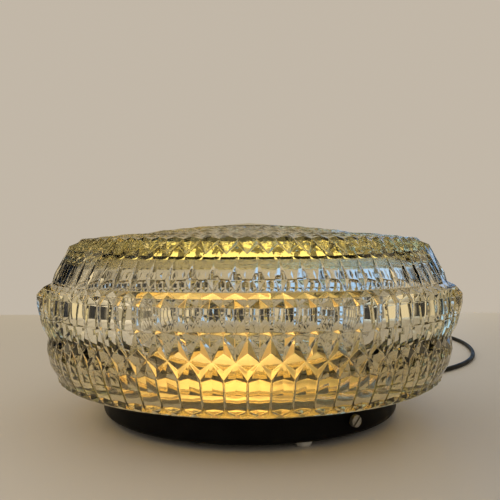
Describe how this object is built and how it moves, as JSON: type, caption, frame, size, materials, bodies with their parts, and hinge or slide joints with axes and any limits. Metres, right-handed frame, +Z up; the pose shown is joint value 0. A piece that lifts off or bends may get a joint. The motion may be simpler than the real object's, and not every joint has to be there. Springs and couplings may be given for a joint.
{
  "type": "glass table lamp",
  "caption": "Low table lamp: a ribbed pressed-glass dish, dome up, over a globe bulb on a black steel pan, with a switch and plug on its cord.",
  "frame": {"origin": "middle of the plane that the feet stand on, on the axis of the shade and the pan", "axes": "+Z up along the axis of the shade; -Y to the side that the picture shows; +X to its right"},
  "size_m": [0.3828, 0.5489, 0.1277],
  "materials": {
    "pressed_glass": "pressed, faceted, clear",
    "black_steel": "satin black enamel, white inside",
    "black_rubber": "matt",
    "clear_bumper": "translucent, soft",
    "plated_steel": "zinc plated, dull",
    "bulb_glass": "frosted, lit warm",
    "nickel_brass": "nickel plated",
    "dark_insulator": "vitreous black",
    "brass": "plain",
    "holder_plastic": "white thermosetting plastic",
    "ceramic": "glazed white",
    "aluminium_rivet": "plain",
    "cord_sheath": "black PVC",
    "wire_insulation": "PVC",
    "switch_plastic": "fine-grained black",
    "rocker_plastic": "smooth black",
    "tie_plastic": "black",
    "plug_plastic": "black PVC"
  },
  "bodies": {
    "base": {"base_pan": "black_steel", "edge_trim": "black_rubber", "bumper_feet": "clear_bumper", "clamp_nuts": "plated_steel", "thread_sleeve": "brass", "holder_skirt": "holder_plastic", "holder_core": "ceramic", "holder_terminals": "brass", "centre_contact": "brass", "holder_cap": "holder_plastic", "threaded_nipple": "plated_steel", "nipple_nut": "plated_steel", "holder_bracket": "plated_steel", "bracket_rivets": "aluminium_rivet", "cord_bushing": "black_rubber", "cord_tail": "cord_sheath", "supply_wires": "wire_insulation", "clamp_pad": "holder_plastic", "clamp_bar": "holder_plastic", "clamp_screws": "plated_steel", "cord_lead": "cord_sheath", "switch_lower_shell": "switch_plastic", "switch_upper_shell": "switch_plastic", "switch_pin": "plated_steel", "switch_contacts": "brass", "switch_wires": "wire_insulation", "switch_screws": "plated_steel", "cord_link": "cord_sheath", "cord_coil": "cord_sheath", "coil_tie": "tie_plastic", "cord_end": "cord_sheath", "plug_sleeve": "plug_plastic", "plug_body": "plug_plastic", "plug_pins": "nickel_brass"},
    "shade": {"glass_shade": "pressed_glass"},
    "bulb": {"bulb_globe": "bulb_glass", "bulb_cap": "nickel_brass", "bulb_insulator": "dark_insulator", "bulb_contact": "brass"},
    "screw_1": {"retaining_screw_1": "plated_steel"},
    "screw_2": {"retaining_screw_2": "plated_steel"},
    "screw_3": {"retaining_screw_3": "plated_steel"},
    "rocker": {"switch_rocker": "rocker_plastic"}
  },
  "joints": [
    {"name": "shade_lift", "type": "slide", "parent": "base", "child": "shade", "axis": [0, 0, 1], "range_m": [0, 0.06]},
    {"name": "bulb_unscrew", "type": "slide", "parent": "base", "child": "bulb", "axis": [-0.8192, -0.5736, 0], "range_m": [0, 0.022]},
    {"name": "screw_1_turn_out", "type": "slide", "parent": "base", "child": "screw_1", "axis": [0.592, -0.8059, 0], "range_m": [0, 0.005]},
    {"name": "screw_2_turn_out", "type": "slide", "parent": "base", "child": "screw_2", "axis": [0.4019, 0.9157, 0], "range_m": [0, 0.005]},
    {"name": "screw_3_turn_out", "type": "slide", "parent": "base", "child": "screw_3", "axis": [-0.994, -0.1097, 0], "range_m": [0, 0.005]},
    {"name": "switch_rock", "type": "hinge", "parent": "base", "child": "rocker", "pos_m": [0.088, 0.397, 0.0126], "axis": [0, -1, 0], "range_deg": [0, 20]}
  ]
}
